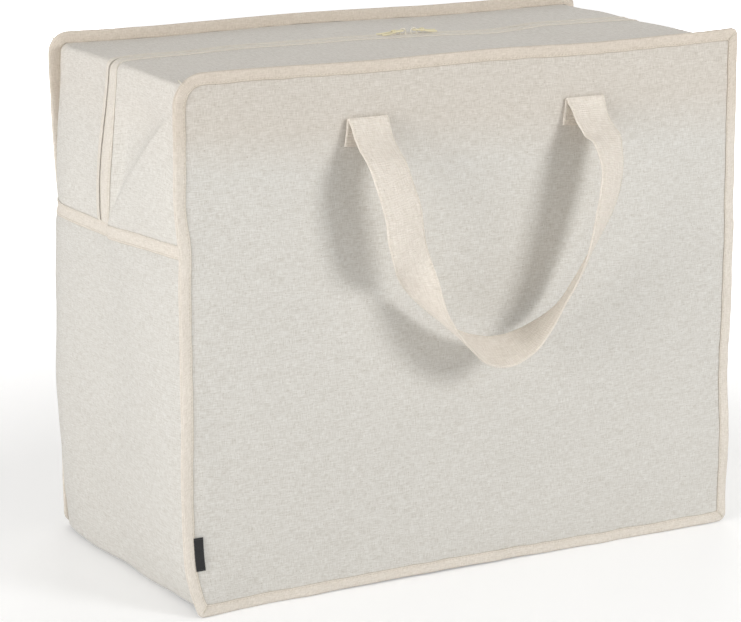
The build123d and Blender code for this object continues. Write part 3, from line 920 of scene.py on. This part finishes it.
# Down the left arm, through the bottom and up the right arm: x from the handle's middle, height, distance
# out from the panel, and the strap's turn in degrees from lying flat on the panel
ROUTE = np.array([
    (-112, 390.0, 1.15, 0), (-111.5, 396.0, 1.15, 0), (-110.5, 403.0, 1.15, 0), (-110, 409.0, 1.2, 0),
    (-109.5, 413.4, 1.6, 0), (-109.5, 414.6, 2.9, 0), (-109.5, 413.4, 4.4, 0),
    (-109.3, 409.0, 7.0, -3), (-109, 400.0, 14.0, -7), (-108.5, 390.0, 27.0, -10), (-108.0, 380.0, 40.0, -11),
    (-105.0, 360.0, 50.0, -11), (-100.5, 340.0, 54.0, -10), (-98.0, 320.0, 54.0, -8),
    (-92.5, 300.0, 52.0, 0), (-88.4, 290.0, 49.5, 20),
    (-83.6, 280.0, 47.0, 43), (-73.4, 261.0, 43.5, 73), (-59.0, 242.0, 42.5, 91), (-42.0, 225.5, 42.0, 104),
    (-31.0, 217.5, 41.5, 111), (-20.0, 211.0, 41.0, 119), (0.0, 206.5, 40.0, 120), (22.0, 212.0, 41.0, 106),
    (42.0, 225.5, 42.5, 86), (58.5, 242.0, 44.0, 68), (71.5, 261.0, 46.0, 62), (81.0, 280.0, 49.0, 58),
    (88.8, 300.0, 52.0, 49), (95.0, 320.0, 54.0, 38), (100.5, 340.0, 54.0, 31), (105.0, 360.0, 50.0, 28),
    (106.0, 380.0, 40.0, 24), (105.0, 390.0, 27.0, 18), (104.0, 400.0, 14.0, 10), (103.5, 409.0, 7.0, 4),
    (103, 413.4, 4.4, 0), (103, 414.6, 2.9, 0), (103, 413.4, 1.6, 0),
    (102.5, 409.0, 1.2, 0), (102, 403.0, 1.15, 0), (101, 396.0, 1.15, 0), (100.5, 390.0, 1.15, 0)])


def smooth_route(rows, per_span):
    """A curve through every row: between two rows, a cubic whose end slopes are half the step between their
    neighbours, weighted by how far apart the rows lie."""
    step = np.sqrt(np.linalg.norm(np.diff(rows[:, :3], axis=0), axis=-1)) + 1e-6
    knots = running(step)
    slope = np.gradient(rows, knots, axis=0)
    spans = [np.linspace(a, b, per_span, endpoint=False) for a, b in zip(knots[:-1], knots[1:])]
    t = np.concatenate(spans + [knots[-1:]])
    k = np.clip(np.searchsorted(knots, t, "right") - 1, 0, len(knots) - 2)
    h = (knots[k + 1] - knots[k])[:, None]
    s = ((t - knots[k])[:, None]) / h
    return ((2 * s ** 3 - 3 * s ** 2 + 1) * rows[k] + (s ** 3 - 2 * s ** 2 + s) * h * slope[k]
            + (3 * s ** 2 - 2 * s ** 3) * rows[k + 1] + (s ** 3 - s ** 2) * h * slope[k + 1])


def strap_frame(rows):
    """The strap's middle line, the direction across it and its outer face's direction: flat strap is turned
    about its own line by the angle in the last column."""
    line = np.stack([rows[:, 0], -rows[:, 2], rows[:, 1]], -1)
    heading = unit(np.gradient(line, axis=0))
    turn = np.radians(rows[:, 3])[:, None]
    in_plane = np.stack([heading[:, 2], 0 * heading[:, 0], -heading[:, 0]], -1)
    # through the fold the strap heads towards or away from the panel, so its own width stays along x
    half = np.linspace(-1, 1, len(rows))
    arm = np.stack([np.sign(half), 0 * half, 0 * half], -1)
    flat = np.hypot(heading[:, 0], heading[:, 2])[:, None]
    near_fold = (1 - ease(rows[:, 2], 5, 30))[:, None]
    in_plane = unit(in_plane * (1 - near_fold) * flat + arm * (near_fold + 1e-3))
    across = np.cos(turn) * in_plane + np.sin(turn) * np.array([0, 1.0, 0])
    across = unit(across - heading * np.sum(across * heading, -1, keepdims=True))
    return line, across, np.cross(across, heading)


def placed(face, p):
    """Points of a handle drawn as x from its middle, out from the panel and height, put on its own face; the
    back handle is the front one turned half round."""
    p = np.array(p, float)
    p[..., 1] -= FACE
    p[..., 0] += HANDLE_MIDDLE
    if face > 0:
        p[..., 0] *= -1
        p[..., 1] *= -1
    return p


def swinging(piece):
    """The piece belongs to the webbing; its placement is baked into its points."""
    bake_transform(piece)


def sewn_down(name, face, x, z, lift, pitch, thick, tilt=0.0):
    """A row of stitches through a sewn end of the webbing."""
    p = placed(face, np.stack([x, -(lift + relief(face, x + HANDLE_MIDDLE, z)), z], -1))
    fixed(stitches(name, p, facing([0, face, tilt], p), pitch, thread, thick=thick), "shell", "webbing")


def handle(face, half):
    """One length of webbing: a flat rounded ring carried along the route, slightly cupped, its edges a
    little uneven, with stitches along both edges and a crossed box of them through each sewn end."""
    rows = smooth_route(ROUTE, 9)
    line, across, outer = strap_frame(rows)
    run = running(np.linalg.norm(np.diff(line, axis=0), axis=-1))
    lift = relief(face, face * (rows[:, 0] + HANDLE_MIDDLE), rows[:, 1]) * (1 - ease(rows[:, 2], 2.0, 25))
    line = line - np.array([0, 1.0, 0]) * lift[:, None]
    w = np.array([-1, -0.985, -0.93, -0.86, -0.6, -0.3, 0, 0.3, 0.6, 0.86, 0.93, 0.985, 1])
    h = np.array([0.0, 0.62, 0.92, 1.0, 0.94, 0.92, 0.92, 0.92, 0.94, 1.0, 0.92, 0.62, 0.0])
    ring_w = np.concatenate([w, w[::-1][1:-1]])
    ring_h = np.concatenate([h, -h[::-1][1:-1]])
    free = ease(rows[:, 2], 3, 30)
    cup = free * 1.3 * (1 - 0.6 * hump(rows[:, 0], 0, 60))
    ragged = 1 + 0.010 * crumple(run, 0 * run, 26, 81)[:, None]
    curled = 1 - 0.15 * hump(rows[:, 1], 288, 19)[:, None] * (rows[:, :1] < 0)
    offset_w = STRAP_HALF * ring_w[None] * ragged * curled
    offset_h = STRAP_SKIN * ring_h[None] - cup[:, None] * (ring_w[None] ** 2)
    offset_h = offset_h + (free * 0.5)[:, None] * crumple(run[:, None], ring_w[None] * STRAP_HALF, 60, 83)
    rings = line[:, None] + across[:, None] * offset_w[..., None] + outer[:, None] * offset_h[..., None]
    girth = running(np.abs(np.diff(ring_w)) * STRAP_HALF + np.abs(np.diff(ring_h)) * STRAP_SKIN)
    girth = np.concatenate([girth, [0]])
    strap = wrapped(half + " handle webbing", placed(face, rings), webbing, length=run, girth=girth)
    swinging(strap)
    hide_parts(half + "_handle_loop", half + "_handle_anchor_left", half + "_handle_anchor_right")
    for k, (edge_at, sign) in enumerate(((-17.2, 1), (17.2, 1), (-17.2, -1), (17.2, -1))):
        rise = sign * 0.97 - cup * (edge_at / STRAP_HALF) ** 2
        rise = rise + free * 0.5 * crumple(run, edge_at + 0 * run, 60, 83)
        row_path = line + across * edge_at * curled + outer * rise[:, None]
        away = placed(face, row_path + outer * sign) - placed(face, row_path)
        row = stitches(f"{half} handle edge stitch {k + 1}", placed(face, row_path), away, 3.0, thread)
        swinging(row)
    box_x, box_low, box_high, fold = 15.5, 392.5, 410.0, 411.8
    turns = np.array([(-1, 0), (1, 0), (1, 1), (-1, 1), (-1, 0), (1, 1), (1, 0), (-1, 1)])
    corners = np.stack([turns[:, 0] * box_x, box_low + turns[:, 1] * (box_high - box_low)], -1)
    box = np.concatenate([np.linspace(a, b, 12, endpoint=False) for a, b in zip(corners[:-1], corners[1:])])
    for k, arm in enumerate((-110.5, 102.0)):
        sewn_down(f"{half} handle box stitch {k + 1}", face, arm + box[:, 0], box[:, 1], 2.1, 2.9, 0.55)
        x = arm + np.linspace(-18, 18, 30)
        sewn_down(f"{half} handle fold stitch {k + 1}", face, x, fold + 0 * x, 2.2, 2.6, 0.6, 0.2)


for face, half in FACES:
    handle(face, half)


# ---------------------------------------------------------------- sliders and pulls

PLATE_LOW, EYE_Z = 452.9, slider_high[2] - 2.6
# Where one pull's cord runs, from one tail's end through the eye to the other's, as x, y and z from the eye
TAILS = np.array([
    (23.3, 4.3, -2.05), (18.5, 4.4, -1.95), (13.8, 3.2, -1.3), (9.4, 1.2, -0.5), (5.0, 1.7, -0.1),
    (1.6, 2.1, 0.1), (-0.5, 1.0, 0.2), (-0.5, -1.0, 0.2), (1.6, -2.1, 0.1), (5.0, -1.6, -0.1),
    (8.8, -1.1, -0.5), (13.2, -2.6, -1.4), (17.4, -3.6, -2.0), (21.2, -3.1, -2.1)])


def slider(side, word, cx, top):
    """A waisted plate with rounded edges, and the arched bail over it that holds the pull."""
    turn = np.linspace(0, math.tau, 40, endpoint=False)
    cos, sin = np.cos(turn), np.sin(turn)
    shape_x, shape_y = np.sign(cos) * np.abs(cos) ** 0.55, np.sign(sin) * np.abs(sin) ** 0.75
    waist = 1 - 0.14 * (shape_x * -side > 0) * np.abs(shape_x) ** 2
    levels = ((0.0, 0.9), (0.15, 0.97), (0.5, 1.0), (1.1, 1.0), (1.35, 0.96), (1.45, 0.9))
    rings = np.stack([np.stack([cx + 5.4 * k * shape_x, ZIP + 4.6 * k * shape_y * waist,
                                PLATE_LOW + h + 0 * turn], -1)
                      for h, k in levels])
    fixed(wrapped(word + " slider plate", rings, metal), word + "_slider", "slider_metal", word + "_slider")
    arch = np.linspace(-0.12, 1.12, 40) * math.pi
    path = np.stack([cx - 3.1 * np.cos(arch), ZIP + 0 * arch, top - 3.9 + 3.4 * np.sin(arch).clip(-1)], -1)
    feet = [np.array([[path[k, 0] + inward, ZIP, PLATE_LOW + 1.0]]) for k, inward in ((0, 0.6), (-1, -0.6))]
    path = np.concatenate([feet[0], path, feet[1]])
    spread = np.interp(np.arange(len(path)), [0, 4, 20, 36, len(path) - 1], [0.75, 0.62, 0.5, 0.62, 0.75])
    bail = wrapped(word + " slider bail", tube(path, spread, 10, (0, 1, 0)), metal)
    fixed(bail, word + "_slider", "slider_metal")


def pull(side, word, cx):
    """One cord through the bail, both tails caught in a trefoil knot and frayed at their ends."""
    eye = (cx, ZIP, EYE_Z)
    points = (np.array(eye) + TAILS * (side, 1, 1)) * MM
    line = bpy.data.curves.new(word + " pull cord", "CURVE")
    line.dimensions, line.bevel_depth, line.bevel_resolution, line.use_fill_caps = "3D", 0.8 * MM, 3, True
    run = line.splines.new("NURBS")
    run.points.add(len(points) - 1)
    run.points.foreach_set("co", np.concatenate([points, np.ones((len(points), 1))], 1).ravel())
    run.order_u, run.use_endpoint_u, run.resolution_u = 3, True, 6
    cord = bpy.data.objects.new(word + "_pull_cord_line", line)
    bpy.context.collection.objects.link(cord)
    line.materials.append(cord_finish)
    fixed(cord, word + "_pull", "cord", word + "_pull_cord")
    s = np.linspace(0, math.tau, 91)
    trefoil = np.stack([(np.sin(s) + 2 * np.sin(2 * s)) * 0.74, (np.cos(s) - 2 * np.cos(2 * s)) * 0.74,
                        -np.sin(3 * s) * 0.95], -1)
    place = np.array([cx + side * 8.6, ZIP + 0.1, EYE_Z - 0.2])
    knot = wrapped(word + " pull knot", tube(trefoil + place, 0.82, 8, (0.1, 0.2, 1)), cord_finish)
    fixed(knot, word + "_pull", "cord", word + "_pull_knot")
    fray = np.linspace(0, 1, 7)[:, None]
    for k, (end, before) in enumerate(((points[0], points[1]), (points[-1], points[-2]))):
        path = (end + unit(end - before) * fray * 0.0012) / MM
        rings = tube(path, 0.8 * np.array([1.0, 1.12, 1.2, 1.16, 1.05, 0.8, 0.25]), 9)
        fixed(wrapped(f"{word} pull end {k + 1}", rings, cord_finish), word + "_pull", "cord")


for side, word in SIDES:
    low, high = limits(word + "_slider")
    slider(side, word, (low[0] + high[0]) / 2, high[2])
    pull(side, word, (low[0] + high[0]) / 2)

# ---------------------------------------------------------------- side tag

tag_low, tag_high = limits("side_label")
s, a = np.linspace(0, 1, 34)[:, None], np.linspace(0, 1, 12)[None]
height = tag_low[2] + (tag_high[2] - tag_low[2]) * s + 0 * a
x = tag_low[0] - 2.0 + (tag_high[0] - tag_low[0] + 2.0) * a + 0 * s
out = FACE + relief(-1, x, height) + 1.6 + 0.25 * a ** 2 * np.sin(s * 3.1) + 0.12 * np.sin(s * 9) * a
piece = cloth("side tag", face_point(-1, x, height, out), x, height, 0.6, tag, np.array([0, -1, 0]))
fixed(piece, "shell", "label", "side_label")
for k, level in enumerate((0.05, 0.95)):
    edge_z = tag_low[2] + (tag_high[2] - tag_low[2]) * level + 0 * x[0]
    line = face_point(-1, x[0], edge_z, out[int(level * 33)] + 0.05)
    row = stitches(f"side tag edge {k + 1}", line, facing([0, -1, 0], line), 0.9, tag_line, thick=0.3,
                   share=1.0)
    fixed(row, "shell", "label")

# ---------------------------------------------------------------- floor, lights and camera

floor_finish, tree, surface, place = new_finish("studio floor")
wide = 9000.0
ground = put_mesh("studio floor",
                  [(x, y, -0.15) for x, y in ((-wide, -wide), (wide, -wide), (wide, wide), (-wide, wide))],
                  [(0, 1, 2, 3)], np.zeros((1, 4, 2)), floor_finish)
mottle = use_group(tree, MOTTLE, Vector=place, Size=4.0)
tree.links.new(mix(tree, mottle["Patches"], (0.79, 0.79, 0.79, 1), (0.81, 0.81, 0.81, 1)),
               surface["Base Color"])
surface["Roughness"].default_value = 0.9
surface["Specular IOR Level"].default_value = 0.1
surface["Emission Color"].default_value = (1, 1, 1, 1)
# painted light: the floor glows for the camera only, dim near the bag and rising to white away from it, where
# the lamps fall off
seen = tree.nodes.new("ShaderNodeLightPath").outputs["Is Camera Ray"]
away = node(tree, "ShaderNodeVectorMath", {"operation": "LENGTH"}, i0=place).outputs["Value"]
tree.links.new(times(tree, seen, ramp(tree, away, 0.42, 1.10, 0.245, 0.66)), surface["Emission Strength"])
ground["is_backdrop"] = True

# the room is dark below the horizon and brightens towards the ceiling
world = bpy.data.worlds.new("soft studio")
bpy.context.scene.world = world
bpy.context.scene.view_settings.view_transform = "Standard"
world.use_nodes = True
tree = world.node_tree
height = split(tree, tree.nodes.new("ShaderNodeTexCoord").outputs["Generated"])[2]
sky = maths(tree, "MULTIPLY_ADD", maths(tree, "MAXIMUM", height, 0.0), 0.70, 0.045)
tree.links.new(sky, tree.nodes["Background"].inputs["Strength"])
tree.nodes["Background"].inputs["Color"].default_value = (1.0, 0.985, 0.96, 1.0)


def soft_light(name, azimuth, elevation, distance, size, power, colour=(1, 1, 1)):
    """A square studio light aimed at the bag's middle from a bearing and a height above the horizon."""
    lamp = bpy.data.lights.new(name, "AREA")
    lamp.shape, lamp.size, lamp.energy, lamp.color = "SQUARE", size, power, colour
    made = bpy.data.objects.new(name, lamp)
    bpy.context.collection.objects.link(made)
    a, e = math.radians(azimuth), math.radians(elevation)
    back = np.array([math.sin(a) * math.cos(e), -math.cos(a) * math.cos(e), math.sin(e)])
    spot = np.array([0, 0, 0.23]) + back * distance
    side_way = np.array([math.cos(a), math.sin(a), 0.0])
    up = np.cross(back, side_way)
    made.matrix_world = Matrix([(*[side_way[i], up[i], back[i]], spot[i]) for i in range(3)] + [(0, 0, 0, 1)])
    made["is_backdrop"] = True


soft_light("key light", 27, 18, 2.8, 0.85, 35, (0.985, 0.995, 1.0))
soft_light("left fill", -74, 9, 2.8, 1.6, 49)
soft_light("rear fill", 150, 10, 3.2, 1.8, 40)

camera = bpy.data.objects.new("camera", bpy.data.cameras.new("camera"))
bpy.context.collection.objects.link(camera)
camera.data.lens, camera.data.sensor_width = 131.27, 36.0
yaw, pitch, roll = 0.4758, 0.2447, -0.0055
forward = np.array([math.sin(yaw) * math.cos(pitch), math.cos(yaw) * math.cos(pitch), -math.sin(pitch)])
level = np.array([math.cos(yaw), -math.sin(yaw), 0.0])
up = np.cross(level, forward)
right_way = level * math.cos(roll) + up * math.sin(roll)
up_way = -level * math.sin(roll) + up * math.cos(roll)
spot = (-1.12022, -2.12723, 0.80429)
camera.matrix_world = Matrix([(right_way[i], up_way[i], -forward[i], spot[i]) for i in range(3)]
                             + [(0, 0, 0, 1)])
camera.data.clip_start, camera.data.clip_end = 0.1, 60.0
bpy.context.scene.camera = camera

low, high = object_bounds()
